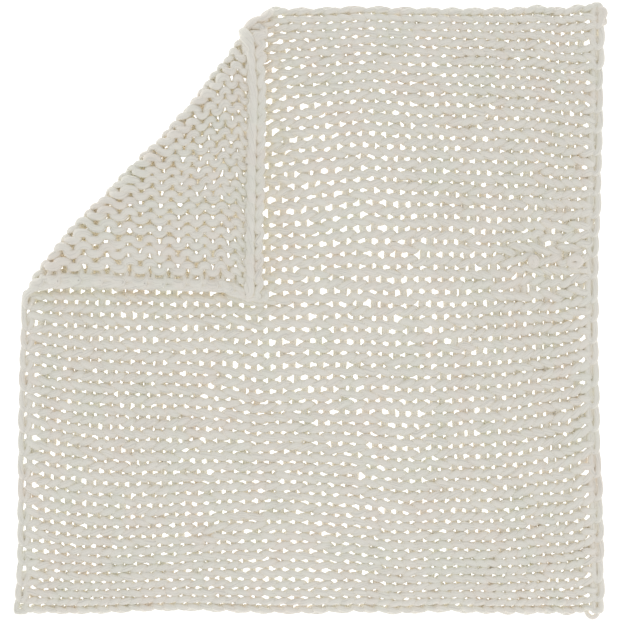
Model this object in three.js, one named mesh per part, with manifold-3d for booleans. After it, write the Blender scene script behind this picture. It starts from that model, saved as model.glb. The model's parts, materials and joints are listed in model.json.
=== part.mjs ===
// A chunky hand-knitted throw, lying flat with one corner folded back over it.
//
// The origin is on the ground under the middle of the throw. +X runs across the
// rows of stitches, from the cast-on edge to the bind-off edge, +Y runs up the
// throw towards the folded corner's side, and +Z is up.
//
// Every piece of knitting is a plain closed slab of the true size. The fold is
// two hinges: the turn of the fold swings on the lying part, and the folded
// corner swings on the turn. Each opens by a quarter turn, and the corner then
// lies flat, in line with the rest of the throw.
import * as THREE from 'three';
import { mergeVertices } from 'three/addons/utils/BufferGeometryUtils.js';
import Module from 'manifold-3d';

const wasm = await Module();
wasm.setup();

// Driving dimensions, in millimetres.
const THROW_WIDTH = 1264; // cast-on edge to bind-off edge
const THROW_LENGTH = 1307; // top selvedge to bottom selvedge
const KNIT_THICKNESS = 34; // one layer of knitting
const SEAT = 0.3; // clearance between pieces that touch
const CAST_ON_WIDTH = 36; // chain of the first row
const BIND_OFF_WIDTH = 34; // chain of the last row
const TOP_SELVEDGE_WIDTH = 46; // curled outer stitches
const BOTTOM_SELVEDGE_WIDTH = 40;
const FIRST_BALL_WIDTH = 366; // knitted from the first ball of yarn
const LAST_BALL_WIDTH = 113; // knitted from the last ball of yarn
const FOLD_PAST_FIRST_BALL = 191; // from the end of the first ball to the fold, along the top
const FOLD_DOWN_SIDE = 677; // from the corner to the fold, down the cast-on edge
const CORNER_SKEW = 0.3; // slide along the fold for each unit away from it
const KNOT_LENGTH = 46; // knot of the last yarn end, on the bind-off edge
const KNOT_WIDTH = 13;
const KNOT_HEIGHT = 26;
const TAIL_LENGTH = 36; // loop of yarn left under the bottom selvedge
const TAIL_WIDTH = 17;
const JOIN_RADIUS = 13; // knot where two balls of yarn are joined
const JOIN_HEIGHT = 10;
const JOIN_SPACING = 88; // between the two knots of the join
const JOIN_DOWN = 553; // from the top selvedge to the join
const QUARTER_TURN = Math.PI / 2;
const ARC_STEPS = 12; // chords in a quarter of the fold's outside
const ROUND_SIDES = 16;
const CAP_STEPS = 4;
const FAR = 4000; // beyond the throw in any direction
const YARN_COLOUR = 0xd3cfc4;
const EDGE_COLOUR = 0xcfcabe;
const KNOT_COLOUR = 0xd6d2c8;
const YARN_ROUGHNESS = 0.92;

// Where the throw lies: its box, with the knot and the tail, is centred on the origin.
const left = -(THROW_WIDTH + SEAT + KNOT_WIDTH) / 2;
const top = (THROW_LENGTH + SEAT + TAIL_WIDTH) / 2;

// The fold's section. The corner's middle layer lies one turnRadius above its centre.
const turnRadius = (KNIT_THICKNESS + SEAT) / 2;
const outerRadius = KNIT_THICKNESS + SEAT / 2;
const turnLength = Math.PI * turnRadius;
const hingeOffset = turnLength / 4;
const centreHeight = KNIT_THICKNESS + SEAT / 2;

// Places on the open throw are (across, down) from its folded corner.
function atRest(across, down) {
  return new THREE.Vector2(left + across, top - down);
}

const foldAlongTop = CAST_ON_WIDTH + FIRST_BALL_WIDTH + FOLD_PAST_FIRST_BALL;
const foldStart = atRest(foldAlongTop, 0);
const foldEnd = atRest(0, FOLD_DOWN_SIDE);
const alongFold = foldEnd.clone().sub(foldStart).normalize();
const outOfFold = new THREE.Vector2(alongFold.y, -alongFold.x);

// A place given by its distance out of the fold line and its distance along it.
function byFold(out, along) {
  return foldStart.clone().addScaledVector(outOfFold, out).addScaledVector(alongFold, along);
}

// Where a place on the open throw comes to lie in the folded corner.
function afterFold(across, down) {
  const fromStart = atRest(across, down).sub(foldStart);
  const pastTurn = fromStart.dot(outOfFold) - turnLength;
  return byFold(-pastTurn, fromStart.dot(alongFold) + CORNER_SKEW * pastTurn);
}

// The throw's pieces on the open throw: across from, across to, down from, down to.
const firstBallEnd = CAST_ON_WIDTH + FIRST_BALL_WIDTH;
const lastBallStart = THROW_WIDTH - BIND_OFF_WIDTH - LAST_BALL_WIDTH;
const secondBallEnd = (firstBallEnd + lastBallStart) / 2;
const knitTop = TOP_SELVEDGE_WIDTH;
const knitBottom = THROW_LENGTH - BOTTOM_SELVEDGE_WIDTH;
const regions = {
  cast_on_edge: [0, CAST_ON_WIDTH, knitTop, knitBottom],
  ball_1_knit: [CAST_ON_WIDTH, firstBallEnd, knitTop, knitBottom],
  ball_2_knit: [firstBallEnd, secondBallEnd, knitTop, knitBottom],
  ball_3_knit: [secondBallEnd, lastBallStart, knitTop, knitBottom],
  ball_4_knit: [lastBallStart, THROW_WIDTH - BIND_OFF_WIDTH, knitTop, knitBottom],
  bind_off_edge: [THROW_WIDTH - BIND_OFF_WIDTH, THROW_WIDTH, knitTop, knitBottom],
  top_selvedge: [0, THROW_WIDTH, 0, knitTop],
  bottom_selvedge: [0, THROW_WIDTH, knitBottom, THROW_LENGTH],
};

// Booleans.
function toSolid(geometry) {
  const bare = geometry.clone();
  bare.deleteAttribute('normal');
  bare.deleteAttribute('uv');
  const merged = mergeVertices(bare);
  const mesh = new wasm.Mesh({
    numProp: 3,
    vertProperties: new Float32Array(merged.attributes.position.array),
    triVerts: new Uint32Array(merged.index.array),
  });
  return new wasm.Manifold(mesh);
}

function toGeometry(solid) {
  const { numProp, vertProperties, triVerts } = solid.getMesh();
  const geometry = new THREE.BufferGeometry();
  geometry.setAttribute('position', new THREE.BufferAttribute(new Float32Array(vertProperties), numProp));
  geometry.setIndex(new THREE.BufferAttribute(new Uint32Array(triVerts), 1));
  geometry.computeVertexNormals();
  return geometry;
}

// A flat slab of knitting: a piece of the throw, half a seat inside its edges.
function slab(region, place) {
  const [acrossFrom, acrossTo, downFrom, downTo] = region;
  const inset = SEAT / 2;
  const corners = [
    place(acrossFrom + inset, downFrom + inset),
    place(acrossTo - inset, downFrom + inset),
    place(acrossTo - inset, downTo - inset),
    place(acrossFrom + inset, downTo - inset),
  ];
  const outline = new THREE.Shape(corners);
  return toSolid(new THREE.ExtrudeGeometry(outline, { depth: 2 * outerRadius, bevelEnabled: false }));
}

// A section of the fold, as (out, height) points, drawn along the fold from one place to another.
function alongTheFold(section, from, to) {
  const shape = new THREE.Shape(section);
  const geometry = new THREE.ExtrudeGeometry(shape, { depth: to - from, bevelEnabled: false });
  const out = new THREE.Vector3(outOfFold.x, outOfFold.y, 0);
  const up = new THREE.Vector3(0, 0, 1);
  const back = new THREE.Vector3(-alongFold.x, -alongFold.y, 0);
  const end = byFold(0, to);
  const placing = new THREE.Matrix4().makeBasis(out, up, back).setPosition(end.x, end.y, 0);
  return toSolid(geometry.applyMatrix4(placing));
}

// Points of the fold's outside, from one height above its centre to another.
function outerArc(fromHeight, toHeight) {
  const fromAngle = Math.asin(fromHeight / outerRadius);
  const toAngle = Math.asin(toHeight / outerRadius);
  const points = [];
  for (let step = 0; step <= ARC_STEPS; step += 1) {
    const angle = THREE.MathUtils.lerp(fromAngle, toAngle, step / ARC_STEPS);
    const out = outerRadius * Math.cos(angle);
    points.push(new THREE.Vector2(out, centreHeight + outerRadius * Math.sin(angle)));
  }
  return points;
}

// The lying layer's section: flat up to the fold line, with a lip that curves up to the hinge.
function lyingSection() {
  const lipDepth = -Math.sqrt(outerRadius ** 2 - hingeOffset ** 2);
  const lipTop = centreHeight - hingeOffset - SEAT / 2;
  return [
    new THREE.Vector2(-FAR, 0),
    ...outerArc(-outerRadius, lipDepth),
    new THREE.Vector2(hingeOffset, lipTop),
    new THREE.Vector2(0, lipTop),
    new THREE.Vector2(0, KNIT_THICKNESS),
    new THREE.Vector2(-FAR, KNIT_THICKNESS),
  ];
}

// The folded layer's section is the lying layer's, turned over about the fold's centre.
function foldedSection() {
  const turned = lyingSection().map((point) => new THREE.Vector2(point.x, 2 * centreHeight - point.y));
  return turned.reverse();
}

// The turn's section: the half round between the two lips.
function turnSection() {
  const reach = hingeOffset - SEAT / 2;
  return [
    new THREE.Vector2(SEAT, centreHeight - reach),
    ...outerArc(-reach, reach),
    new THREE.Vector2(SEAT, centreHeight + reach),
  ];
}

// Where the middle of the turn crosses a line across or down the throw.
function turnAtAcross(across, out) {
  return (across - foldAlongTop - outOfFold.x * out) / alongFold.x;
}

function turnAtDown(down, out) {
  return -(down + outOfFold.y * out) / alongFold.y;
}

function knitMaterial(color) {
  return new THREE.MeshStandardMaterial({ color, roughness: YARN_ROUGHNESS, metalness: 0 });
}

// A named mesh in a group whose origin is at the given place.
function addPiece(group, origin, name, geometry, color) {
  const mesh = new THREE.Mesh(geometry.translate(-origin.x, -origin.y, -origin.z), knitMaterial(color));
  mesh.name = name;
  group.add(mesh);
}

function colourOf(name) {
  return name.startsWith('ball') ? YARN_COLOUR : EDGE_COLOUR;
}

// The lying part of the throw.
function buildLyingPart(group, origin) {
  const layer = alongTheFold(lyingSection(), -FAR, FAR);
  for (const [name, region] of Object.entries(regions)) {
    const piece = slab(region, atRest).intersect(layer);
    addPiece(group, origin, name, toGeometry(piece), colourOf(name));
  }
}

// The turn of the fold, cut where the pieces of the throw meet on it.
function buildTurn(group, origin) {
  const middle = turnLength / 2;
  const cuts = {
    top_selvedge_turn: [turnAtDown(0, outerRadius), turnAtDown(knitTop, middle)],
    ball_2_turn: [turnAtDown(knitTop, middle), turnAtAcross(firstBallEnd, middle)],
    ball_1_turn: [turnAtAcross(firstBallEnd, middle), turnAtAcross(CAST_ON_WIDTH, middle)],
    cast_on_edge_turn: [turnAtAcross(CAST_ON_WIDTH, middle), turnAtAcross(0, outerRadius)],
  };
  for (const [name, [from, to]] of Object.entries(cuts)) {
    const piece = alongTheFold(turnSection(), from + SEAT / 2, to - SEAT / 2);
    addPiece(group, origin, name, toGeometry(piece), colourOf(name));
  }
}

// The folded corner, lying on the rest of the throw.
function buildCorner(group, origin) {
  const layer = alongTheFold(foldedSection(), -FAR, FAR);
  for (const name of ['cast_on_edge', 'ball_1_knit', 'ball_2_knit', 'top_selvedge']) {
    const piece = slab(regions[name], afterFold).intersect(layer);
    addPiece(group, origin, `${name.replace('_knit', '')}_corner`, toGeometry(piece), colourOf(name));
  }
}

// A yarn end: a round-ended roll of yarn lying along one of the throw's edges.
function yarnEnd(length, width, height) {
  const radius = width / 2;
  const roll = new THREE.CapsuleGeometry(radius, length - width, CAP_STEPS, ROUND_SIDES);
  return roll.scale(1, 1, height / width);
}

function buildYarnEnds(group, origin) {
  const knotPlace = atRest(THROW_WIDTH + SEAT / 2 + KNOT_WIDTH / 2, KNOT_LENGTH / 2 + SEAT);
  const knot = yarnEnd(KNOT_LENGTH, KNOT_WIDTH, KNOT_HEIGHT);
  knot.translate(knotPlace.x, knotPlace.y, KNOT_HEIGHT / 2);
  addPiece(group, origin, 'bind_off_knot', knot, KNOT_COLOUR);

  const tailDown = THROW_LENGTH + SEAT / 2 + TAIL_WIDTH / 2;
  const tailPlace = atRest(THROW_WIDTH - TAIL_LENGTH / 2 - SEAT, tailDown);
  const tail = yarnEnd(TAIL_LENGTH, TAIL_WIDTH, TAIL_WIDTH).rotateZ(QUARTER_TURN);
  tail.translate(tailPlace.x, tailPlace.y, TAIL_WIDTH / 2);
  addPiece(group, origin, 'yarn_tail_loop', tail, KNOT_COLOUR);
}

// The two knots that join the third ball of yarn to the last, seated on the knitting.
function buildYarnJoin(group, origin) {
  const dome = [new THREE.Vector2(0, 0)];
  for (let step = 0; step <= ARC_STEPS; step += 1) {
    const angle = (QUARTER_TURN * step) / ARC_STEPS;
    dome.push(new THREE.Vector2(JOIN_RADIUS * Math.cos(angle), JOIN_HEIGHT * Math.sin(angle)));
  }
  dome[dome.length - 1].x = 0;
  ['yarn_join_knot_inner', 'yarn_join_knot_outer'].forEach((name, index) => {
    const place = atRest(lastBallStart + index * JOIN_SPACING, JOIN_DOWN);
    const knot = new THREE.LatheGeometry(dome, ROUND_SIDES).rotateX(QUARTER_TURN);
    knot.translate(place.x, place.y, KNIT_THICKNESS + SEAT);
    addPiece(group, origin, name, knot, KNOT_COLOUR);
  });
}

// The scene: the corner's group hangs on the turn's, each with its origin on its hinge.
const ground = new THREE.Vector3();
const hingePlace = byFold(hingeOffset, 0);
const lowerHinge = new THREE.Vector3(hingePlace.x, hingePlace.y, centreHeight - hingeOffset);
const upperHinge = new THREE.Vector3(hingePlace.x, hingePlace.y, centreHeight + hingeOffset);

const throwBlanket = new THREE.Group();
const lyingPart = new THREE.Group();
const foldTurn = new THREE.Group();
const foldedCorner = new THREE.Group();
foldTurn.position.copy(lowerHinge);
foldedCorner.position.copy(upperHinge).sub(lowerHinge);
throwBlanket.add(lyingPart, foldTurn);
foldTurn.add(foldedCorner);

buildLyingPart(lyingPart, ground);
buildTurn(foldTurn, lowerHinge);
buildCorner(foldedCorner, upperHinge);
buildYarnEnds(lyingPart, ground);
buildYarnJoin(lyingPart, ground);

export default throwBlanket;
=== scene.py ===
"""A chunky hand-knitted throw, laid flat with one corner folded back over it.

The knitting is real yarn: every row is a tube that loops through the row before it. The rows are
laid out flat first, and then bent round the fold that the frame's two hinges give.
"""

from __future__ import annotations

import json
import logging
import math
from dataclasses import dataclass, field
from enum import Enum

import bpy
import numpy as np
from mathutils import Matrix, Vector


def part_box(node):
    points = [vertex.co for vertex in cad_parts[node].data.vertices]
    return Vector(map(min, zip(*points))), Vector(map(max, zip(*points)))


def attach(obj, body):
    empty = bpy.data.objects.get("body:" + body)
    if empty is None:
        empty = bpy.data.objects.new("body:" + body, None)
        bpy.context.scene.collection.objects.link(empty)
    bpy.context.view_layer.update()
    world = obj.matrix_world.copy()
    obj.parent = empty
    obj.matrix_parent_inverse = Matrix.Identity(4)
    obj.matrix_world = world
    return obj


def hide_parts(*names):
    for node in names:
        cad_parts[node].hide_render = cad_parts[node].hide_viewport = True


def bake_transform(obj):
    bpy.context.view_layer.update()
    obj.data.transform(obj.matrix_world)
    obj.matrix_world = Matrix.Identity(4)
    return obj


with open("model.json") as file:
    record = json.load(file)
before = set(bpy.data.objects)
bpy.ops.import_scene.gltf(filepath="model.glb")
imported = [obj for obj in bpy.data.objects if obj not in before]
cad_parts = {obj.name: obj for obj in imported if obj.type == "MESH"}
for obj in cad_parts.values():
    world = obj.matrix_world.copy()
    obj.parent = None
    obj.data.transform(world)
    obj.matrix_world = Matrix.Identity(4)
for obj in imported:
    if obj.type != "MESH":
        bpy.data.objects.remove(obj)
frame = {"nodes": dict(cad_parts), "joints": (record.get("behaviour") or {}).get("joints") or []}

LOG = logging.getLogger("throw")
SEED = 20
TURN = 2 * math.pi
SLOTS = ("knit_yarn", "edge_yarn", "yarn_ends")

Points = np.ndarray
Pair = tuple[float, float]
Triple = tuple[float, float, float]
Socket = bpy.types.NodeSocket


class Layer(Enum):
    """The side of the fold that a length of yarn belongs to."""

    LYING = "lying"
    CORNER = "corner"


class Selvedge(Enum):
    """The two edges where every row of knitting turns round."""

    TOP = "top_selvedge"
    BOTTOM = "bottom_selvedge"


class ChainEdge(Enum):
    """The two edges that are chains of loops."""

    CAST_ON = "cast_on_edge"
    BIND_OFF = "bind_off_edge"


@dataclass(frozen=True)
class Bulge:
    """A smooth swelling along a line, nearly gone two reaches from its centre."""

    height: float
    centre: float
    reach: float

    def at(self, value: Points) -> Points:
        """Its height at some places along the line."""
        return self.height * np.exp(-(((value - self.centre) / self.reach) ** 2))


@dataclass(frozen=True)
class Ramp:
    """A straight rise along a line, level before it and after it."""

    height: float
    start: float
    length: float

    def at(self, value: Points) -> Points:
        """Its height at some places along the line."""
        return self.height * np.clip((value - self.start) / self.length, 0, 1)


@dataclass(frozen=True)
class Wave:
    """An even wave along a line."""

    height: float
    crest: float
    length: float

    def at(self, value: Points) -> Points:
        """Its height at some places along the line."""
        return self.height * np.cos(TURN * (value - self.crest) / self.length)


Course = tuple[Bulge | Ramp | Wave, ...]


def follow(course: Course, value: Points) -> Points:
    """The height of several shapes together, at some places along their line."""
    return sum(shape.at(value) for shape in course)


def add_object(name: str, data: bpy.types.ID) -> bpy.types.Object:
    """Adds an object to the scene.

    Args:
        name: Its name.
        data: Its mesh, light or camera.

    Returns:
        The object.
    """
    made = bpy.data.objects.new(name, data)
    bpy.context.scene.collection.objects.link(made)
    return made


@dataclass(frozen=True)
class Shading:
    """Adds nodes to a material, each one linked as it comes."""

    tree: bpy.types.NodeTree

    def noise(self, attribute: str, operation: str, operand: Triple, cells: float, detail: float) -> Socket:
        """Adds noise that follows one of the mesh's attributes.

        Args:
            attribute: The attribute's name.
            operation: What is done to it first.
            operand: What it is done with.
            cells: Cells of noise for one unit of the result.
            detail: Octaves of noise.

        Returns:
            The noise's value.
        """
        source = self.tree.nodes.new("ShaderNodeAttribute")
        source.attribute_name = attribute
        change = self.tree.nodes.new("ShaderNodeVectorMath")
        change.operation = operation
        change.inputs[1].default_value = operand
        noise = self.tree.nodes.new("ShaderNodeTexNoise")
        noise.inputs["Scale"].default_value = cells
        noise.inputs["Detail"].default_value = detail
        self.tree.links.new(source.outputs["Vector"], change.inputs[0])
        self.tree.links.new(change.outputs["Vector"], noise.inputs["Vector"])
        return noise.outputs["Fac"]

    def mix(self, value: Socket, below: Socket | Triple, above: Triple, span: Pair) -> Socket:
        """Fades from one colour to another as a value crosses a span.

        Args:
            value: The value that chooses.
            below: The colour under the span, as numbers or as a socket.
            above: The colour over the span.
            span: The values where the fade starts and ends.

        Returns:
            The mixed colour.
        """
        fade = self.tree.nodes.new("ShaderNodeMapRange")
        fade.interpolation_type = "SMOOTHSTEP"
        fade.inputs["From Min"].default_value, fade.inputs["From Max"].default_value = span
        mix = self.tree.nodes.new("ShaderNodeMix")
        mix.data_type = "RGBA"
        first, second = mix.inputs[6], mix.inputs[7]
        self.tree.links.new(value, fade.inputs["Value"])
        self.tree.links.new(fade.outputs["Result"], mix.inputs["Factor"])
        if isinstance(below, tuple):
            first.default_value = (*below, 1.0)
        else:
            self.tree.links.new(below, first)
        second.default_value = (*above, 1.0)
        return mix.outputs[2]

    def raised(self, height: Socket, strength: float, depth: float, under: Socket | None = None) -> Socket:
        """Raises the surface.

        Args:
            height: How high it is raised.
            strength: How strongly the relief shows.
            depth: The height of the highest relief.
            under: The normal of what it is raised from, if it is already raised.

        Returns:
            The new normal.
        """
        relief = self.tree.nodes.new("ShaderNodeBump")
        relief.inputs["Strength"].default_value = strength
        relief.inputs["Distance"].default_value = depth
        self.tree.links.new(height, relief.inputs["Height"])
        if under is not None:
            self.tree.links.new(under, relief.inputs["Normal"])
        return relief.outputs["Normal"]


@dataclass(frozen=True)
class YarnFinish:
    """A soft, thick, hardly twisted off-white yarn.

    The fibres run along the yarn: the mesh's yarn attribute holds the distance along it and the
    direction round it. The patches of warmer and cooler tint follow its stitch attribute.
    """

    name: str
    pale: Triple = (0.95, 0.922, 0.848)
    warm: Triple = (0.945, 0.895, 0.82)
    cool: Triple = (0.92, 0.912, 0.83)
    shade_share: float = 0.80
    roughness: float = 0.9
    sheen: float = 0.25
    sheen_roughness: float = 0.45
    specular: float = 0.2
    strand_cells: Triple = (22.0, 3.2, 3.2)
    fibre_cells: Triple = (60.0, 9.0, 9.0)
    warm_cells: float = 0.55
    warm_shift: Triple = (11.0, 11.0, 0.0)
    cool_cells: float = 0.42
    cool_shift: Triple = (47.0, 47.0, 0.0)
    warm_span: Pair = (0.44, 0.66)
    cool_span: Pair = (0.44, 0.70)
    shade_span: Pair = (0.48, 0.80)
    strand_depth: float = 0.0011
    strand_strength: float = 0.8
    fibre_depth: float = 0.0011 / 3
    fibre_strength: float = 0.6

    def material(self) -> bpy.types.Material:
        """Builds the finish as a material.

        Returns:
            The new material.
        """
        material = bpy.data.materials.new(self.name)
        material.use_nodes = True
        shader = material.node_tree.nodes["Principled BSDF"]
        shader.inputs["Roughness"].default_value = self.roughness
        shader.inputs["Sheen Weight"].default_value = self.sheen
        shader.inputs["Sheen Roughness"].default_value = self.sheen_roughness
        shader.inputs["Specular IOR Level"].default_value = self.specular
        shading = Shading(material.node_tree)
        strands = shading.noise("yarn", "MULTIPLY", self.strand_cells, 1.0, 2.0)
        fibres = shading.noise("yarn", "MULTIPLY", self.fibre_cells, 1.0, 3.0)
        warm = shading.noise("stitch", "ADD", self.warm_shift, self.warm_cells, 2.0)
        cool = shading.noise("stitch", "ADD", self.cool_shift, self.cool_cells, 2.0)
        shade = tuple(self.shade_share * channel for channel in self.pale)
        colour = shading.mix(warm, self.pale, self.warm, self.warm_span)
        colour = shading.mix(cool, colour, self.cool, self.cool_span)
        colour = shading.mix(strands, colour, shade, self.shade_span)
        normal = shading.raised(strands, self.strand_strength, self.strand_depth)
        normal = shading.raised(fibres, self.fibre_strength, self.fibre_depth, under=normal)
        material.node_tree.links.new(colour, shader.inputs["Base Color"])
        material.node_tree.links.new(normal, shader.inputs["Normal"])
        return material


@dataclass
class YarnMesh:
    """One piece's yarn: closed tubes, joined into one mesh.

    Each vertex carries its distance along the yarn and direction round it, for the fibres, and
    its place among the stitches, for the patches of tint.
    """

    cell_rings: int = 16
    cell_margin: float = 0.04
    sharp_degrees: float = 65.0
    points: list[Points] = field(default_factory=list)
    yarn: list[Points] = field(default_factory=list)
    stitch: list[Points] = field(default_factory=list)
    faces: list[Points] = field(default_factory=list)
    corners: list[Points] = field(default_factory=list)
    count: int = 0
    rings: int = 0

    def add(self, rings: Points, along: Points, around: Points, stitch: Points, closed: bool = False) -> None:
        """Adds one tube.

        Args:
            rings: Its rings of points, as (ring, side, 3).
            along: Each ring's distance along the yarn.
            around: Each side's direction, as (ring, side), in radians.
            stitch: Each ring's place among the stitches, as (ring, 2).
            closed: Whether the last ring meets the first one, as on a loop of chain.
        """
        total, sides = rings.shape[:2]
        self.points.append(rings.reshape(-1, 3))
        self.yarn.append(self._around(along, around))
        self.stitch.append(np.repeat(np.c_[stitch, np.zeros(total)], sides, 0))
        index = self.count + np.arange(total * sides).reshape(total, sides)
        first = index if closed else index[:-1]
        second = np.roll(index, -1, 0) if closed else index[1:]
        quads = np.stack([first, np.roll(first, -1, 1), np.roll(second, -1, 1), second], -1)
        self.faces.append(quads.reshape(-1, 4))
        self.corners.append(self._map(len(first), quads.shape[1]))
        self.count += total * sides
        if not closed:
            self._cap(rings[0], index[0], along[0], stitch[0], flip=True)
            self._cap(rings[-1], index[-1], along[-1], stitch[-1], flip=False)

    def _around(self, along: Points, around: Points) -> Points:
        """Each vertex's distance along the yarn, with its direction round it as two numbers."""
        far = np.broadcast_to(along[:, None], around.shape)
        return np.stack([far, np.cos(around), np.sin(around)], -1).reshape(-1, 3)

    def _map(self, rings: int, sides: int) -> Points:
        """Lays new faces out in map cells.

        Args:
            rings: How many rings of faces there are.
            sides: How many faces a ring has.

        Returns:
            Each face's corners as (cell, x, y), with x and y from 0 to 1 in the cell.
        """
        ring = self.rings + np.arange(rings)
        cell, place = np.divmod(ring, self.cell_rings)
        self.rings += rings
        low = place / self.cell_rings
        high = (place + 1) / self.cell_rings
        left = np.arange(sides) / sides
        right = left + 1 / sides
        x = np.stack([low, low, high, high], -1)[:, None, :] + np.zeros((1, sides, 1))
        y = np.stack([left, right, right, left], -1)[None, :, :] + np.zeros((rings, 1, 1))
        which = cell[:, None, None] + np.zeros((1, sides, 4))
        return np.stack([which, x, y], -1).reshape(-1, 4, 3)

    def _cap(self, ring: Points, index: Points, along: float, stitch: Points, flip: bool) -> None:
        """Closes a tube's end with a fan of faces to its middle.

        Args:
            ring: The end's points.
            index: The numbers of those points.
            along: The end's distance along the yarn.
            stitch: The end's place among the stitches.
            flip: Whether the end is the tube's first.
        """
        self.points.append(ring.mean(0)[None])
        self.yarn.append(np.array([[along, 0.0, 0.0]]))
        self.stitch.append(np.array([[*stitch, 0.0]]))
        tip = np.full(len(index), self.count)
        after = np.roll(index, -1)
        near, far = (after, index) if flip else (index, after)
        self.faces.append(np.stack([near, far, tip, np.full(len(index), -1)], -1))
        self.corners.append(self._map(1, len(index)))
        self.count += 1

    def build(self, name: str, finish: bpy.types.Material) -> bpy.types.Object:
        """Makes the object.

        Args:
            name: The piece's name.
            finish: Its material.

        Returns:
            The new object, in the scene.
        """
        faces = np.concatenate(self.faces)
        used = faces >= 0
        size = used.sum(1)
        mesh = bpy.data.meshes.new(name)
        mesh.vertices.add(self.count)
        mesh.vertices.foreach_set("co", np.concatenate(self.points).astype(np.float32).ravel())
        mesh.loops.add(int(size.sum()))
        mesh.loops.foreach_set("vertex_index", faces[used].astype(np.int32))
        mesh.polygons.add(len(faces))
        mesh.polygons.foreach_set("loop_start", np.r_[0, np.cumsum(size)[:-1]].astype(np.int32))
        mesh.update(calc_edges=True)
        mesh.polygons.foreach_set("use_smooth", np.ones(len(faces), bool))
        self._attribute(mesh, "yarn", np.concatenate(self.yarn))
        self._attribute(mesh, "stitch", np.concatenate(self.stitch))
        corners = np.concatenate(self.corners)[used]
        mesh.uv_layers.new(name="OFBake").uv.foreach_set("vector", self._unfold(corners).ravel())
        mesh.set_sharp_from_angle(angle=math.radians(self.sharp_degrees))
        mesh.materials.append(finish)
        mesh.validate()
        return add_object(name, mesh)

    @staticmethod
    def _attribute(mesh: bpy.types.Mesh, name: str, values: Points) -> None:
        """Stores one vector for each vertex."""
        mesh.attributes.new(name, "FLOAT_VECTOR", "POINT").data.foreach_set(
            "vector", values.astype(np.float32).ravel())

    def _unfold(self, corners: Points) -> Points:
        """Spreads the map cells over the unit square.

        Args:
            corners: Face corners as (cell, x, y).

        Returns:
            The corners' places on the map.
        """
        cells = self.rings // self.cell_rings + 1
        columns = math.ceil(math.sqrt(cells))
        inside = self.cell_margin + (1 - 2 * self.cell_margin) * corners[:, 1:]
        row, column = np.divmod(corners[:, 0], columns)
        return ((np.c_[column, row] + inside) / columns).astype(np.float32)


@dataclass
class Wander:
    """Smooth, seeded unevenness: a few waves of different lengths and directions."""

    seed: int
    length: float
    waves: int = 7

    def __post_init__(self) -> None:
        """Draws the waves."""
        rng = np.random.default_rng(self.seed)
        turn = rng.uniform(0, TURN, self.waves)
        size = TURN / (self.length * rng.uniform(0.6, 1.6, self.waves))
        self._pitch = np.stack([np.cos(turn), np.sin(turn)]) * size
        self._phase = rng.uniform(0, TURN, self.waves)

    def at(self, x: Points, y: Points) -> Points:
        """The unevenness at some places, about from -1 to 1.

        Args:
            x: The places' first coordinate.
            y: The places' second coordinate.

        Returns:
            One value for each place.
        """
        across = np.multiply.outer(x, self._pitch[0])
        down = np.multiply.outer(y, self._pitch[1])
        waves = np.sin(across + down + self._phase)
        return waves.sum(-1) / math.sqrt(self.waves)


@dataclass
class Fold:
    """The fold that turns the corner back, from the frame's two hinges.

    Out is the distance from the fold line towards the open corner, and along runs from the top
    edge to the cast-on edge.
    """

    skew: float = 0.3
    sway: Course = (
        Bulge(-0.010, 0.04, 0.04),
        Bulge(0.004, 0.13, 0.03),
        Bulge(-0.0095, 0.34, 0.15),
        Bulge(0.0065, 0.67, 0.09),
        Bulge(-0.005, 0.85, 0.06),
    )
    sway_fade: float = 0.15

    def __post_init__(self) -> None:
        """Reads the hinges."""
        joints = {joint["name"]: joint for joint in frame["joints"]}
        lower = Vector(joints["fold_opening"]["pos_m"])
        upper = Vector(joints["corner_opening"]["pos_m"])
        axis = Vector(joints["fold_opening"]["axis"]).normalized()
        self.along = np.array([axis.x, axis.y])
        self.out = np.array([axis.y, -axis.x])
        offset = (upper.z - lower.z) / 2
        self.radius = 4 * offset / math.pi
        self.centre = (upper.z + lower.z) / 2
        line = np.array([lower.x, lower.y]) - self.out * offset
        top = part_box("top_selvedge")[1].y
        self.start = line + self.along * (top - line[1]) / self.along[1]
        self.turn = math.pi * self.radius

    def coordinates(self, flat: Points) -> tuple[Points, Points]:
        """Places on the open throw, seen from the fold.

        Args:
            flat: Points of the open throw.

        Returns:
            How far out each one is from the fold, which strays a little from its straight line,
            and how far along it.
        """
        away = flat[..., :2] - self.start
        along = away @ self.along
        return away @ self.out - follow(self.sway, along), along

    def layer_turned(self, flat: Points) -> Points:
        """Whether each point of the open throw lies past the middle of the turn."""
        return self.coordinates(flat)[0] > self.turn / 2

    def bend(self, flat: Points) -> Points:
        """Folds the corner back.

        Args:
            flat: Points of the open throw.

        Returns:
            Where they come to lie.
        """
        out, along = self.coordinates(flat)
        depth = self.radius - (flat[..., 2] - (self.centre - self.radius))
        angle = np.clip(out / self.radius, 0, math.pi)
        past = np.maximum(out - self.turn, 0)
        new_out = np.where(out < 0, out, depth * np.sin(angle) - past)
        height = self.centre - depth * np.cos(angle)
        slid = along + self.skew * past
        straightened = 1 - 2 * np.clip(past / self.sway_fade, 0, 1)
        flat_out = new_out + follow(self.sway, along) * straightened
        placed = self.start + np.multiply.outer(flat_out, self.out) + np.multiply.outer(slid, self.along)
        return np.concatenate([placed, height[..., None]], -1)

    def attach(self, piece: bpy.types.Object, layer: Layer) -> None:
        """Bakes a piece's place into its mesh, on either side of the fold.

        Args:
            piece: The piece, in its place.
            layer: The side of the fold that it belongs to.
        """
        if layer is Layer.LYING:
            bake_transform(piece)
        else:
            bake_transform(piece)


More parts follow.
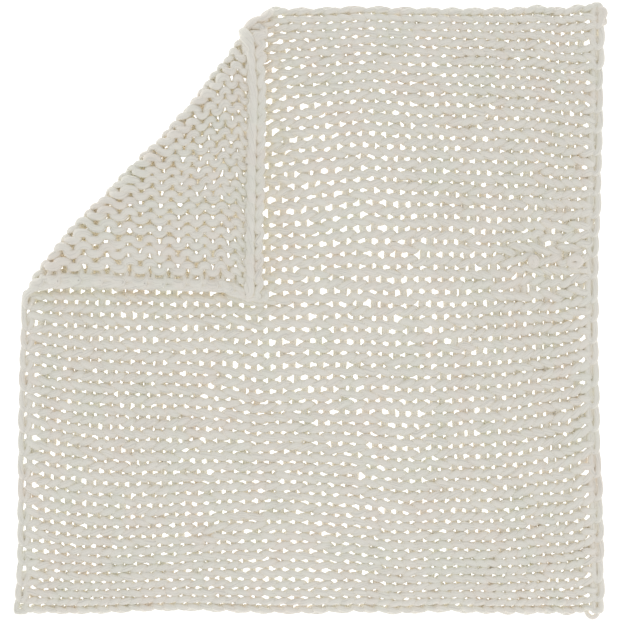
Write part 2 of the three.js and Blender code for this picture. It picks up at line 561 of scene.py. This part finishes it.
@dataclass(frozen=True)
class Layout:
    """How the throw came to lie: where its edges stray, and how its lines of stitches slope.

    The shapes run along shares of the throw, from 0 to 1 across it or down it.
    """

    top_inset: float = 0.0145
    bottom_inset: float = 0.0079
    right_inset: float = 0.0005
    left_inset: float = 0.0085
    left_course: Course = (Bulge(0.0085, 0.48, 0.22), Ramp(-0.0075, 0.95, 0.05))
    corner_inset: Ramp = Ramp(0.016, 0.03, 0.05)
    corner_end: Ramp = Ramp(1.0, 0.42, 0.08)
    top_course: Course = (
        Bulge(-0.0090, 0.405, 0.03),
        Bulge(0.0035, 0.60, 0.05),
        Bulge(0.0050, 0.90, 0.025),
        Ramp(0.0090, 0.94, 0.05),
    )
    right_course: Course = (Wave(0.0058, 0.0, 1.0), Bulge(-0.003, 0.70, 0.12))
    bottom_course: Course = (
        Wave(0.0035, 0.08, 0.39),
        Bulge(0.0070, 0.66, 0.05),
        Bulge(0.0050, 0.96, 0.03),
    )
    left_lift: Course = (Bulge(0.060, 0.75, 0.20),)
    left_fade: float = 0.23
    right_lift: Course = (Bulge(-0.040, 0.17, 0.19), Bulge(0.057, 0.74, 0.25))
    right_fade: float = 0.15
    hollow: tuple[Bulge, Bulge] = (Bulge(-0.017, 0.40, 0.11), Bulge(1.0, 0.17, 0.22))
    crest: tuple[Bulge, Bulge] = (Bulge(0.029, 0.45, 0.16), Bulge(1.0, 0.85, 0.15))
    held_share: float = 0.05
    selvedge_stretch: float = 0.0075
    stretched_share: float = 0.01

    def left(self, down: Points) -> Points:
        """How far the cast-on edge stands in from the outline, on the corner and below it."""
        lying = self.left_inset + follow(self.left_course, down)
        return lying + (self.corner_inset.at(down) - lying) * (1 - self.corner_end.at(down))

    def right(self, down: Points) -> Points:
        """How far the bind-off edge bulges out, or is drawn in."""
        return follow(self.right_course, down) - self.right_inset

    def top(self, across: Points) -> Points:
        """How far the top selvedge bulges out where it was drawn up or pulled."""
        return follow(self.top_course, across) - self.top_inset

    def bottom(self, across: Points) -> Points:
        """How far the bottom selvedge hangs down between the places where it was drawn up."""
        return follow(self.bottom_course, across) - self.bottom_inset

    def stretch(self, down: Points) -> Points:
        """How far the outermost stitches are drawn out towards the two selvedges."""
        top, bottom = np.exp(-np.maximum([down, 1 - down], 0) / self.stretched_share)
        return self.selvedge_stretch * (top - bottom)

    def lift(self, x_share: Points, y_share: Points) -> Points:
        """How far the stitches' lines were pulled up, or down, while the throw was laid out.

        Args:
            x_share: Shares of the way across the throw.
            y_share: Shares of the way down it.

        Returns:
            The distance up the throw.
        """
        across = np.clip(x_share, 0, 1)
        down = np.clip(y_share, 0, 1)
        held = np.clip(np.minimum(down, 1 - down) / self.held_share, 0, 1)
        at_left = follow(self.left_lift, down) * np.exp(-across / self.left_fade)
        at_right = follow(self.right_lift, down) * np.exp((across - 1) / self.right_fade)
        middle = sum(first.at(across) * second.at(down) for first, second in (self.hollow, self.crest))
        return held * (at_left + at_right + middle)


@dataclass(frozen=True)
class SelvedgeRoll:
    """The roll of the outer stitches at both selvedges, towards the back.

    It is half closed where the throw lies on the table, and closes on the corner, where the back
    is uppermost and nothing holds it. Each pair of numbers holds what is so on the table, and
    what the corner adds.
    """

    start: Pair = (0.55, 0.5)
    most: Pair = (0.6, 2.15)
    squash: Pair = (0.25, 0.65)
    drawn_in: float = 0.38
    pitch: float = 0.036
    length: float = 0.4
    ease: float = 1.3

    def rolled(self, stitch: Points, height: Points, free: Points,
               edges: Pair, low: float) -> tuple[Points, Points]:
        """Rolls the outer part of both selvedges.

        Args:
            stitch: Stitch numbers along a row.
            height: Their heights.
            free: How far round the fold they are.
            edges: The stitch numbers of the top and the bottom edge.
            low: The height under which the roll is squashed.

        Returns:
            The new stitch numbers and heights.
        """
        start = self.start[0] + self.start[1] * free
        for sign, edge in zip((1, -1), edges):
            inward = sign * (stitch - edge)
            most = self.most[0] + self.most[1] * free
            roll = most * np.clip((start - inward) / self.length, 0, 1) ** self.ease
            x = (inward - start) * self.pitch
            new_x = x * np.cos(roll) - height * np.sin(roll)
            new_height = x * np.sin(roll) + height * np.cos(roll)
            floor = low + (self.squash[0] + self.squash[1] * free) * (new_height - low)
            new_height = np.where(new_height < low, floor, new_height)
            rolled = roll > 0
            shift = start - self.drawn_in * free
            stitch = np.where(rolled, edge + sign * (shift + new_x / self.pitch), stitch)
            height = np.where(rolled, new_height, height)
        return stitch, height


@dataclass
class Gauge:
    """How the throw is knitted: its stitches, its yarn and the shape of a loop.

    A row of stitches runs down the throw, from the top selvedge to the bottom one, and the rows
    follow each other across it. Row and stitch numbers may have fractions. What is scattered is
    a share of a row, a share of a stitch, or metres of height.
    """

    fold: Fold
    layout: Layout = Layout()
    selvedge_roll: SelvedgeRoll = SelvedgeRoll()
    rows: int = 50
    stitches: int = 29
    row_loosening: Bulge = Bulge(0.24, 0.52, 0.2)
    row_tightening: float = 0.13
    stitch_gain: float = 1.9
    stitch_skew: float = 0.91
    stitch_power: float = 0.73
    yarn_radius: float = 0.0082
    yarn_flatness: float = 0.92
    loop_reach: float = 0.80
    leg_lean: float = 0.17
    loop_depth: float = 0.0072
    table_gap: float = 0.0002
    chain_width: float = 0.021
    ring_steps: int = 32
    grid: int = 400
    row_yarn: float = 5.3
    scatter: Triple = (0.068, 0.040, 0.0009)
    scatter_limit: float = 2.2
    edge_scatter: float = 0.35
    plump_scatter: float = 0.035
    row_wander: Pair = (0.004, 0.34)
    stitch_wander: Pair = (0.0035, 0.30)
    snag_reach: float = 0.075
    snag_gain: float = 1.6
    tight_power: float = 0.22
    corner_thinning: float = 0.07
    corner_flattening: float = 0.2
    roll_thickening: Bulge = Bulge(0.60, 0.1, 0.6)
    covered_thinning: float = 0.37
    covered_fade: float = 0.04

    def __post_init__(self) -> None:
        """Reads the throw's outline and spaces the rows and stitches over it."""
        self.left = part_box("cast_on_edge")[0].x
        self.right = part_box("bind_off_edge")[1].x
        self.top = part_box("top_selvedge")[1].y
        self.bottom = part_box("bottom_selvedge")[0].y
        self.middle = self.loop_depth + self.yarn_flatness * self.yarn_radius + self.table_gap
        share = np.linspace(0, 1, self.grid)
        row_pitch = 1 + self.row_loosening.at(share) - self.row_tightening * share**4
        arch = np.maximum(np.sin(math.pi * share**self.stitch_skew), 0)
        stitch_pitch = 1 + self.stitch_gain * arch**self.stitch_power
        self._stitch_pitch = stitch_pitch / stitch_pitch.max()
        self._row_share = self._spaced(row_pitch)
        self._stitch_share = self._spaced(stitch_pitch)
        self._share = share
        rng = np.random.default_rng(SEED)
        loose = rng.normal(size=(4, self.rows + 2, self.stitches + 3, 3))
        self._loose = np.clip(loose, -self.scatter_limit, self.scatter_limit)
        self._plump = rng.normal(size=(self.rows + 2, self.stitches + 3))
        self._rows_stray = Wander(SEED + 1, self.row_wander[1])
        self._stitches_stray = Wander(SEED + 2, self.stitch_wander[1])
        self._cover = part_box("ball_1_corner")[0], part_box("top_selvedge_corner")[1]
        knots = [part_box(f"yarn_join_knot_{name}") for name in ("inner", "outer")]
        self._snags = [(low + high) / 2 for low, high in knots]

    @staticmethod
    def _spaced(pitch: Points) -> Points:
        """Turns a pitch along the throw into the share of it that each share of stitches takes."""
        taken = np.concatenate([[0], np.cumsum((pitch[1:] + pitch[:-1]) / 2)])
        return taken / taken[-1]

    def place(self, row: Points, stitch: Points, height: Points) -> Points:
        """Places stitches on the open throw.

        Args:
            row: Row numbers.
            stitch: Stitch numbers.
            height: Heights over the knitting's middle.

        Returns:
            The points.
        """
        x_share = self._extended(row / self.rows, self._row_share)
        y_share = self._extended(stitch / self.stitches, self._stitch_share)
        layout = self.layout
        low_x = self.left + self.chain_width + layout.left(y_share)
        high_x = self.right - self.chain_width + layout.right(y_share)
        low_y = self.top + layout.top(x_share)
        high_y = self.bottom - layout.bottom(x_share)
        x = low_x + (high_x - low_x) * x_share
        y = low_y + (high_y - low_y) * y_share + layout.stretch(y_share)
        across = np.sin(math.pi * np.clip(x_share, 0, 1))
        inside = np.sin(math.pi * np.clip(y_share, 0, 1)) * across
        wander = self.stitch_wander[0] * inside * self._stitches_stray.at(x, y)
        y = y + layout.lift(x_share, y_share) + wander
        x = x + self.row_wander[0] * across**0.5 * self._rows_stray.at(x, y)
        return np.stack([x, y, self.middle + height], -1)

    def _extended(self, share: Points, shares: Points) -> Points:
        """Looks shares up, going on straight past both ends.

        Args:
            share: The shares to look up.
            shares: What they turn into, evenly spaced.

        Returns:
            The shares they turn into.
        """
        inside = np.interp(share, self._share, shares)
        slope_low = shares[1] / self._share[1]
        slope_high = (1 - shares[-2]) / self._share[1]
        return inside + slope_low * np.minimum(share, 0) + slope_high * np.maximum(share - 1, 0)

    def loops(self, row: int) -> tuple[Points, Points, Points, Points]:
        """One row's yarn, loop after loop, down the throw.

        Args:
            row: The row's number.

        Returns:
            The row numbers, stitch numbers, heights and yarn radii of points along it.
        """
        steps = self.stitches * self.ring_steps
        turn = (np.arange(steps + 1) / self.ring_steps - 0.5) * TURN
        number = np.clip(np.floor(turn / TURN + 0.5), 0, self.stitches - 1).astype(int)
        stitch = turn / TURN + 0.5 + self.leg_lean * np.sin(2 * turn)
        place = row + 0.5 + self.loop_reach * np.cos(turn)
        height = -self.loop_depth * np.cos(2 * turn)
        quarters = np.stack([np.cos(turn), -np.cos(turn), -np.sin(turn), np.sin(turn)])
        weights = np.maximum(quarters, 0) ** 2
        foot = weights[1]
        join = np.floor(turn / TURN + 1.0).astype(int)
        pull = sum(weights[part][:, None] * self._loose[part, row, join if part == 1 else number]
                   for part in range(4))
        wild = 1 + self.snag_gain * self._snagged(self.place(place, stitch, 0 * place))
        inner = np.clip(np.minimum(stitch, self.stitches - stitch) / 2, self.edge_scatter, 1)
        place = place + self.scatter[0] * wild * pull[:, 0]
        stitch = stitch + self.scatter[1] * wild * inner * pull[:, 1]
        height = height + self.scatter[2] * pull[:, 2]
        plump = self._plump[row, number] * (1 - foot) + self._plump[row, join] * foot
        spot = self.place(place, stitch, 0 * place)
        free = self._free(spot)
        radius = self._radius(spot, stitch, free, plump)
        height = height * (1 - self.corner_flattening * free)
        edges = (0.0, float(self.stitches))
        stitch, height = self.selvedge_roll.rolled(stitch, height, free, edges, -self.loop_depth)
        return place, stitch, height, radius

    def _radius(self, spot: Points, stitch: Points, free: Points, plump: Points) -> Points:
        """How thick the yarn is: thinner in tight stitches, on the corner and under it.

        Args:
            spot: Places on the open throw.
            stitch: Their stitch numbers.
            free: How far round the fold they are.
            plump: How plump each stitch is by chance.

        Returns:
            The yarn's radius at each place.
        """
        tight = np.interp(stitch / self.stitches, self._share, self._stitch_pitch) ** self.tight_power
        radius = self.yarn_radius * tight * (1 + self.plump_scatter * np.clip(plump, -2, 2))
        radius = radius * (1 - self.corner_thinning * free)
        radius = radius * (1 - self.covered_thinning * self._covered(spot))
        return radius * (1 + free * self.roll_thickening.at(stitch))

    def _snagged(self, spot: Points) -> Points:
        """How near each place is to the knots of the yarn join, from 0 to 1."""
        away = [np.hypot(spot[:, 0] - snag.x, spot[:, 1] - snag.y) for snag in self._snags]
        return np.exp(-((np.min(away, 0) / self.snag_reach) ** 2))

    def _free(self, spot: Points) -> Points:
        """How far round the fold each place is, from 0 on the table to 1 on the corner."""
        return np.clip(self.fold.coordinates(spot)[0] / self.fold.turn, 0, 1) ** 2

    def _covered(self, spot: Points) -> Points:
        """How far each place lies under the folded corner, from 0 outside it to 1."""
        sides = self._cover[1].x - spot[:, 0], spot[:, 1] - self._cover[0].y
        return np.clip(np.min([-self.fold.coordinates(spot)[0], *sides], 0) / self.covered_fade, 0, 1)


@dataclass
class YarnSweep:
    """Sweeps a round yarn along a line on the open throw, and folds it with the rest."""

    gauge: Gauge
    fold: Fold
    sides: int = 12
    twist_length: float = 0.3
    slub: float = 0.022
    slub_length: float = 0.19
    short_slub: float = 0.6
    short_length: float = 0.37 * 0.19
    phases: Pair = (40.0, 92.0)

    def tube(self, line: Points, radius: Points, closed: bool = False) -> tuple[Points, Points, Points]:
        """Makes a tube's rings.

        Args:
            line: The yarn's middle line on the open throw.
            radius: The yarn's radius at each point.
            closed: Whether the line is a loop.

        Returns:
            The folded rings, each ring's distance along the yarn, and each side's direction.
        """
        if closed:
            padded = np.concatenate([line[-2:], line, line[:2]])
            tangent = np.gradient(padded, axis=0)[2:-2]
        else:
            tangent = np.gradient(line, axis=0)
        steps = np.linalg.norm(np.diff(line, axis=0), axis=1)
        along = np.concatenate([[0], np.cumsum(steps)])
        radius = radius * (1 + self._slubs(line, along, closed))
        tangent /= np.linalg.norm(tangent, axis=1)[:, None]
        rise = np.array([0.0, 0.0, 1.0]) - tangent[:, 2:] * tangent
        rise /= np.linalg.norm(rise, axis=1)[:, None]
        side = np.cross(tangent, rise)
        angle = np.arange(self.sides) / self.sides * TURN
        upward = self.gauge.yarn_flatness * np.cos(angle)[None, :, None] * rise[:, None]
        across = upward + np.sin(angle)[None, :, None] * side[:, None]
        rings = line[:, None] + radius[:, None, None] * across
        around = angle[None, :] + (TURN * along / self.twist_length)[:, None]
        folded = self.fold.bend(rings)
        folded[..., 2] = np.maximum(folded[..., 2], 0.0)
        return folded, along, around

    def _slubs(self, line: Points, along: Points, closed: bool) -> Points:
        """Where the yarn is spun a little thicker or thinner.

        Args:
            line: The yarn's middle line.
            along: The distance along it.
            closed: Whether it is a loop, which keeps one thickness.

        Returns:
            The share by which each point's radius grows.
        """
        if closed:
            return np.zeros(len(line))
        start = line[0, 0]
        slow = np.sin(TURN * along / self.slub_length + self.phases[0] * start)
        quick = np.sin(TURN * along / self.short_length + self.phases[1] * start)
        return self.slub * (slow + self.short_slub * quick)


@dataclass
class Piece:
    """A named piece of the throw and what it stands for."""

    name: str
    nodes: tuple[str, ...]
    slot: str
    layer: Layer
    crosses_fold: bool
    mesh: YarnMesh = field(default_factory=YarnMesh)


@dataclass
class Throw:
    """The whole throw, made row by row and sorted into its pieces."""

    gauge: Gauge
    fold: Fold
    sweep: YarnSweep
    strip_rows: int = 9
    selvedge_stitches: float = 1.0

    def __post_init__(self) -> None:
        """Starts with no pieces."""
        self.pieces: dict[str, Piece] = {}

    def balls(self) -> list[tuple[int, int]]:
        """The rows knitted from each ball of yarn.

        Returns:
            The first row of each ball, and the row after its last.
        """
        rows = np.arange(self.gauge.rows + 1, dtype=float)
        middle = np.full_like(rows, self.gauge.stitches / 2)
        x = self.gauge.place(rows, middle, np.zeros_like(rows))[:, 0]
        ends = [int(np.searchsorted(x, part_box(f"ball_{ball}_knit")[1].x)) for ball in (1, 2, 3)]
        marks = [0, *ends, self.gauge.rows]
        return list(zip(marks[:-1], marks[1:]))

    def knit(self) -> None:
        """Knits every row and sorts its yarn into the pieces it belongs to."""
        for ball, (first, last) in enumerate(self.balls(), start=1):
            strips = max(1, math.ceil((last - first) / self.strip_rows))
            for row in range(first, last):
                strip = (row - first) * strips // (last - first)
                self._knit_row(row, ball, strip + 1)

    def _knit_row(self, row: int, ball: int, strip: int) -> None:
        """Knits one row.

        Args:
            row: The row's number.
            ball: The ball of yarn it comes from.
            strip: The strip of rows within the ball.
        """
        gauge = self.gauge
        place, stitch, height, radius = gauge.loops(row)
        line = gauge.place(place, stitch, height)
        rings, along, around = self.sweep.tube(line, radius)
        turned = self.fold.layer_turned(line)
        count = np.arange(len(line)) / gauge.ring_steps
        at_top = count < self.selvedge_stitches
        at_bottom = count > gauge.stitches - self.selvedge_stitches
        key = 4 * at_top + 2 * at_bottom + turned
        breaks = [0, *(np.flatnonzero(np.diff(key)) + 1), len(line) - 1]
        where = np.stack([place, stitch], -1)
        for start, end in zip(breaks[:-1], breaks[1:]):
            if end <= start:
                continue
            if at_top[start] or at_bottom[start]:
                edge = Selvedge.TOP if at_top[start] else Selvedge.BOTTOM
                piece = self.edge_piece(edge, "stitches", turned[start])
            else:
                layer = Layer.CORNER if turned[start] else Layer.LYING
                node = f"ball_{ball}_corner" if turned[start] else f"ball_{ball}_knit"
                piece = self.piece(f"{node}_strip_{strip}", node, "knit_yarn", layer)
            cut = slice(start, end + 1)
            piece.mesh.add(rings[cut], along[cut] + gauge.row_yarn * row, around[cut], where[cut])

    def edge_piece(self, edge: Selvedge | ChainEdge, kind: str, turned: bool) -> Piece:
        """Finds or starts an edge's piece on one side of the fold.

        Args:
            edge: The edge.
            kind: What the piece is made of.
            turned: Whether it lies on the folded corner.

        Returns:
            The piece.
        """
        node = f"{edge.value}_corner" if turned else edge.value
        layer = Layer.CORNER if turned else Layer.LYING
        return self.piece(f"{node}_{kind}", node, "edge_yarn", layer)

    def piece(self, name: str, node: str, slot: str, layer: Layer) -> Piece:
        """Finds or starts a piece.

        Args:
            name: The piece's name.
            node: The frame's node that it stands for.
            slot: Its material slot.
            layer: The side of the fold that it belongs to.

        Returns:
            The piece.
        """
        if name not in self.pieces:
            turn = f"{node.removesuffix('_knit').removesuffix('_corner')}_turn"
            crosses = turn in frame["nodes"]
            nodes = (node, turn) if crosses else (node,)
            self.pieces[name] = Piece(name, nodes, slot, layer, crosses)
        return self.pieces[name]


@dataclass
class RowTurns:
    """The short bends of yarn at both selvedges, where one row goes on into the next."""

    throw: Throw
    bulge: float = 0.14
    yarn_start: float = 4.8
    steps: int = 14

    def build(self) -> None:
        """Adds the bends to the selvedges' pieces."""
        for row in range(self.throw.gauge.rows - 1):
            self._bend(row, at_top=row % 2 == 0)

    def _bend(self, row: int, at_top: bool) -> None:
        """Adds one bend.

        Args:
            row: The row that ends in it.
            at_top: Whether it is at the top selvedge.
        """
        gauge = self.throw.gauge
        end = 0 if at_top else -1
        share = np.linspace(0, 1, self.steps)
        ease = (1 - np.cos(math.pi * share)) / 2
        pairs = zip(gauge.loops(row), gauge.loops(row + 1))
        place, stitch, height, radius = (
            first[end] + (second[end] - first[end]) * ease for first, second in pairs)
        stitch = stitch + (-1 if at_top else 1) * self.bulge * np.sin(math.pi * share)
        line = gauge.place(place, stitch, height)
        rings, along, around = self.throw.sweep.tube(line, radius)
        turned = self.throw.fold.layer_turned(line[self.steps // 2])
        edge = Selvedge.TOP if at_top else Selvedge.BOTTOM
        piece = self.throw.edge_piece(edge, "stitches", turned)
        start = gauge.row_yarn * row + self.yarn_start
        piece.mesh.add(rings, along + start, around, np.stack([place, stitch], -1))


@dataclass
class Chain:
    """A chain edge: a line of loops, each one drawn through the one before it."""

    throw: Throw
    edge: ChainEdge
    width: float = 0.028
    yarn_radius: float = 0.0070
    loop_reach: float = 0.74
    loop_depth: float = 0.005
    scallop: float = 0.0022
    lean: float = 0.35
    corner_loops: int = 13
    corner_spread: float = 0.6
    scatter: tuple[float, float, float, float] = (0.05, 0.08, 0.0008, 0.05)
    end_gap: float = 0.05
    loop_yarn: float = 0.7
    steps: int = 32

    def build(self) -> None:
        """Adds the loops to the edge's pieces."""
        for number in range(self.throw.gauge.stitches):
            self._loop(number)

    def _loop(self, number: int) -> None:
        """Adds one loop.

        Args:
            number: The loop's place along the edge.
        """
        gauge = self.throw.gauge
        rng = np.random.default_rng([SEED, number, len(self.edge.value)])
        longer, wider, higher, thicker = self.scatter * rng.normal(size=4)
        cast_on = self.edge is ChainEdge.CAST_ON
        turn = np.arange(self.steps) / self.steps * TURN
        stitch = number + 0.5 + self.loop_reach * np.cos(turn) * (1 + longer)
        stitch = np.clip(stitch, self.end_gap, gauge.stitches - self.end_gap)
        row = np.full(self.steps, 0.0 if cast_on else float(gauge.rows))
        height = self.loop_depth * np.cos(turn) + higher
        spread = (self.width / 2 - self.yarn_radius + self.scallop) * (1 + wider)
        if cast_on and number < self.corner_loops:
            spread *= self.corner_spread
        side = spread * np.sin(turn) * (1 + self.lean * np.cos(turn))
        outward = gauge.chain_width - self.width / 2
        line = gauge.place(row, stitch, height)
        line[:, 0] += side + (-outward if cast_on else outward)
        radius = np.full(self.steps, self.yarn_radius * (1 + thicker))
        rings, along, around = self.throw.sweep.tube(line, radius, closed=True)
        piece = self.throw.edge_piece(self.edge, "chain", self.throw.fold.layer_turned(line.mean(0)))
        start = self.loop_yarn * number
        piece.mesh.add(rings, along + start, around, np.stack([row, stitch], -1), closed=True)


@dataclass(frozen=True)
class JoinKnot:
    """How one of the two knots of the yarn join is wound."""

    name: str
    coil: float
    turns: float
    width: float


@dataclass
class YarnEnds:
    """The loose ends: the last knot, the small loop at the hem and the two knots of the join."""

    throw: Throw
    knot_radius: float = 0.0062
    knot_gap: float = 0.001
    knot_shift: float = 0.004
    loop_radius: float = 0.0055
    loop_swing: Pair = (-0.12, 1.12)
    loop_lap: float = 0.006
    loop_height: float = 0.010
    loop_slope: float = 0.004
    join_knots: tuple[JoinKnot, JoinKnot] = (
        JoinKnot("inner", 0.0050, 1.6, 0.8),
        JoinKnot("outer", 0.0082, 1.35, 1.18),
    )
    join_radius: float = 0.0078
    join_start: float = 0.7
    join_widening: float = 0.25
    join_tuck: float = 8.0
    join_thinning: float = 0.2
    join_sunk: float = 0.014
    join_rise: float = 0.012
    join_slope: float = 0.004
    join_tilt: float = 0.0025
    steps: int = 90

    def build(self) -> None:
        """Adds the four ends as pieces of their own."""
        self._last_knot()
        self._tail_loop()
        for knot in self.join_knots:
            self._join_knot(knot)

    def _add(self, name: str, line: Points, radius: Points, closed: bool = False) -> None:
        """Adds one end.

        Args:
            name: The frame's node that it stands for.
            line: The yarn's middle line.
            radius: The yarn's radius along it.
            closed: Whether the line is a loop.
        """
        piece = self.throw.piece(f"{name}_yarn", name, "yarn_ends", Layer.LYING)
        rings, along, around = self.throw.sweep.tube(line, radius, closed)
        where = np.tile([[3.0, 7.0]], (len(line), 1))
        piece.mesh.add(rings, along, around, where, closed)

    def _last_knot(self) -> None:
        """Ties the last yarn end in an overhand knot beside the bind-off chain."""
        low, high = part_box("bind_off_knot")
        centre, size = (low + high) / 2, high - low
        turn = np.arange(self.steps) / self.steps * TURN
        radius = self.knot_radius
        reach = np.array([size.x / 2 - self.knot_gap, size.y / 2 - radius, size.z / 2 - radius])
        shape = np.stack([
            -np.sin(3 * turn),
            (np.sin(turn) + 2 * np.sin(2 * turn)) / 3,
            (np.cos(turn) - 2 * np.cos(2 * turn)) / 3,
        ], -1)
        line = np.array(centre) + shape * reach - np.array([self.knot_shift, 0, 0])
        self._add("bind_off_knot", line, np.full(self.steps, radius), closed=True)

    def _tail_loop(self) -> None:
        """Leaves a small slack loop of yarn under the bottom selvedge."""
        low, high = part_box("yarn_tail_loop")
        centre, size = (low + high) / 2, high - low
        radius = self.loop_radius
        swing = math.pi * np.linspace(*self.loop_swing, self.steps)
        x = centre.x + (size.x / 2 - radius) * np.cos(swing)
        y = high.y + self.loop_lap - (size.y + self.loop_lap - radius) * np.sin(swing)
        z = self.loop_height + self.loop_slope * np.cos(swing)
        self._add("yarn_tail_loop", np.stack([x, y, z], -1), np.full(self.steps, radius))

    def _join_knot(self, knot: JoinKnot) -> None:
        """Winds a yarn end into a knot that sits in the knitting.

        Args:
            knot: Which of the two knots it is.
        """
        low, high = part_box(f"yarn_join_knot_{knot.name}")
        centre = (low + high) / 2
        share = np.linspace(0, 1, self.steps)
        swing = TURN * knot.turns * share + self.join_start
        rise = np.clip(np.minimum(share, 1 - share) * self.join_tuck, 0, 1)
        wide = knot.coil * (1 + self.join_widening * share)
        x = centre.x + knot.width * wide * np.cos(swing)
        y = centre.y + wide / knot.width * np.sin(swing)
        z = low.z - self.join_sunk + self.join_rise * rise + self.join_slope * share
        z = z + self.join_tilt * np.sin(swing + 1.0)
        radius = self.join_radius * (1 - self.join_thinning * (1 - rise))
        self._add(f"yarn_join_knot_{knot.name}", np.stack([x, y, z], -1), radius)


@dataclass
class Studio:
    """A white table under soft, even light, seen from straight above."""

    half: float = 8.0
    camera_height: float = 5.0
    view_width: float = 1.339
    view_centre: Pair = (-0.0014, 0.0055)
    sensor: float = 36.0
    light_bounces: int = 24
    table_glow: float = 1.45
    table_colour: Triple = (1.0, 0.995, 0.985)
    sky_strength: float = 0.69
    lamp_power: float = 12.0
    lamp_size: float = 3.0
    lamp_colour: Triple = (1.0, 0.985, 0.96)
    lamp_place: Triple = (0.8, -2.2, 3.4)

    def build(self) -> None:
        """Makes the table, the lights and the camera."""
        self._camera()
        self._table()
        self._lights()
        scene = bpy.context.scene
        scene.view_settings.view_transform = "Standard"
        scene.cycles.max_bounces = scene.cycles.diffuse_bounces = self.light_bounces

    def _camera(self) -> None:
        """Hangs the camera over the throw."""
        data = bpy.data.cameras.new("overhead_camera")
        data.sensor_width = self.sensor
        data.lens = self.sensor * self.camera_height / self.view_width
        camera = add_object("overhead_camera", data)
        camera.location = (*self.view_centre, self.camera_height)
        bpy.context.scene.camera = camera

    def _table(self) -> None:
        """Lays the white light table that the throw lies on."""
        side = self.half
        corners = [(-side, -side, 0), (side, -side, 0), (side, side, 0), (-side, side, 0)]
        mesh = bpy.data.meshes.new("light_table")
        mesh.from_pydata(corners, [], [(0, 1, 2, 3)])
        material = bpy.data.materials.new("light_table")
        material.use_nodes = True
        shader = material.node_tree.nodes["Principled BSDF"]
        shader.inputs["Base Color"].default_value = (0.0, 0.0, 0.0, 1.0)
        shader.inputs["Roughness"].default_value = 1.0
        shader.inputs["Specular IOR Level"].default_value = 0.0
        shader.inputs["Emission Color"].default_value = (*self.table_colour, 1.0)
        shader.inputs["Emission Strength"].default_value = self.table_glow
        mesh.materials.append(material)
        add_object("light_table", mesh)

    def _lights(self) -> None:
        """Sets an even sky and one broad lamp."""
        world = bpy.data.worlds.new("soft_sky")
        world.use_nodes = True
        sky = world.node_tree.nodes["Background"]
        sky.inputs["Color"].default_value = (1.0, 1.0, 1.0, 1.0)
        sky.inputs["Strength"].default_value = self.sky_strength
        bpy.context.scene.world = world
        lamp = bpy.data.lights.new("broad_lamp", "AREA")
        lamp.shape = "SQUARE"
        lamp.size = self.lamp_size
        lamp.energy = self.lamp_power
        lamp.color = self.lamp_colour
        hung = add_object("broad_lamp", lamp)
        hung.location = self.lamp_place
        hung.rotation_euler = (-hung.location).to_track_quat("-Z", "Y").to_euler()


def finish_pieces(throw: Throw, finishes: dict[str, bpy.types.Material]) -> None:
    """Turns the throw's yarn into objects and hangs those that don't cross the fold on the frame.

    Args:
        throw: The throw.
        finishes: The material of each slot.
    """
    for piece in throw.pieces.values():
        made = piece.mesh.build(piece.name, finishes[piece.slot])
        if piece.crosses_fold:
            throw.fold.attach(made, piece.layer)
        else:
            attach(made, "lying_part")
        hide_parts(*piece.nodes)
        faces = len(made.data.polygons)
        LOG.info("%s: %d faces, stands for %s", piece.name, faces, ", ".join(piece.nodes))


def main() -> None:
    """Builds the throw around its frame, and the studio it lies in."""
    logging.basicConfig(level=logging.INFO, format="%(name)s %(message)s")
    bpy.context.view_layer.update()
    Studio().build()
    fold = Fold()
    gauge = Gauge(fold)
    throw = Throw(gauge, fold, YarnSweep(gauge, fold))
    throw.knit()
    RowTurns(throw).build()
    for edge in ChainEdge:
        Chain(throw, edge).build()
    YarnEnds(throw).build()
    finishes = {slot: YarnFinish(f"{slot}_finish").material() for slot in SLOTS}
    finish_pieces(throw, finishes)


if __name__ == "__main__":
    main()
